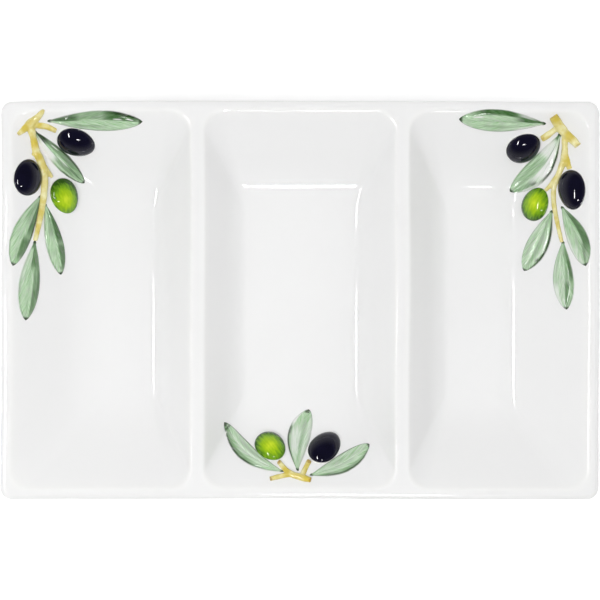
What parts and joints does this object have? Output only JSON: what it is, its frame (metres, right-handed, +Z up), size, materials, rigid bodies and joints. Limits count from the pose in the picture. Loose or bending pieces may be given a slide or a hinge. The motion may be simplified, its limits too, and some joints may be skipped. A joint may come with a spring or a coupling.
{
  "type": "olive dish",
  "caption": "Shallow rectangular glazed earthenware dish with side-by-side basins between level dividers and olive sprigs in painted relief, for serving olives and nibbles.",
  "frame": {"origin": "on the table, under the middle of the dish", "axes": "+X to the right along the length, +Y to the back, +Z up out of the basins"},
  "size_m": [0.35, 0.233, 0.0366],
  "materials": {
    "white_glaze": "white earthenware under a clear gloss glaze",
    "leaf_green": "sage green brushed underglaze under a clear gloss glaze",
    "olive_black": "blue-black underglaze under a clear gloss glaze",
    "olive_green": "yellow-green underglaze, darker at the edge, under a clear gloss glaze",
    "twig_ochre": "ochre yellow underglaze under a clear gloss glaze"
  },
  "bodies": {
    "root": {"dish_body": "white_glaze", "left_twig": "twig_ochre", "right_twig": "twig_ochre", "front_twig": "twig_ochre", "left_top_leaf": "leaf_green", "left_inner_leaf": "leaf_green", "left_outer_leaf": "leaf_green", "left_lower_leaf": "leaf_green", "left_tip_leaf": "leaf_green", "right_top_leaf": "leaf_green", "right_inner_leaf": "leaf_green", "right_outer_leaf": "leaf_green", "right_lower_leaf": "leaf_green", "right_tip_leaf": "leaf_green", "front_left_leaf": "leaf_green", "front_middle_leaf": "leaf_green", "front_right_leaf": "leaf_green", "left_upper_olive": "olive_black", "left_side_olive": "olive_black", "left_green_olive": "olive_green", "right_upper_olive": "olive_black", "right_side_olive": "olive_black", "right_green_olive": "olive_green", "front_green_olive": "olive_green", "front_black_olive": "olive_black"}
  },
  "joints": []
}
